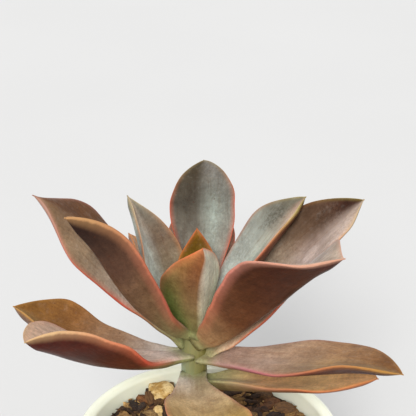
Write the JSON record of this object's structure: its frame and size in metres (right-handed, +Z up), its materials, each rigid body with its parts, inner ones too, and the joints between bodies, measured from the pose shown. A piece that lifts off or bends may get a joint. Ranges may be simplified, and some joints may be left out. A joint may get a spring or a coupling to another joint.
{
  "type": "potted succulent plant",
  "caption": "Leggy rosette succulent with thick pointed leaves on a short bare stem, growing in a round cream glazed pot filled with bark mix.",
  "frame": {"origin": "centre of the pot's flat foot, on the plane it stands on", "axes": "+Z up, -Y towards the plant's front, +X to its right"},
  "size_m": [0.122, 0.1216, 0.1791],
  "materials": {
    "glaze": "glossy cream-white glaze",
    "soil": "dark brown bark mix",
    "stem": "smooth olive-green skin, stands in for plant tissue",
    "leaf": "waxy grey-brown to pink with an orange-red margin, stands in for plant tissue",
    "bark": "rough brown bark",
    "pumice": "rough tan pumice"
  },
  "bodies": {
    "root": {"pot": "glaze", "soil": "soil", "stem": "stem", "leaf_low_right_near": "leaf", "leaf_low_front": "leaf", "leaf_low_right_far": "leaf", "leaf_low_left_near": "leaf", "leaf_low_left_far": "leaf", "leaf_back_left": "leaf", "leaf_back_right": "leaf", "leaf_back_middle": "leaf", "leaf_mid_right_far": "leaf", "leaf_mid_left_far": "leaf", "leaf_mid_right_near": "leaf", "leaf_mid_left_near": "leaf", "leaf_upper_right": "leaf", "leaf_upper_left": "leaf", "leaf_upper_back": "leaf", "leaf_bud_front": "leaf", "leaf_bud_back": "leaf", "leaf_heart_left": "leaf", "leaf_heart_right": "leaf", "pumice_pebble": "pumice", "bark_chip_back": "bark", "bark_chip_right": "bark", "bark_chip_left": "bark", "bark_chip_front": "bark", "bark_chip_front_left": "bark", "grit_stone": "pumice"}
  },
  "joints": []
}
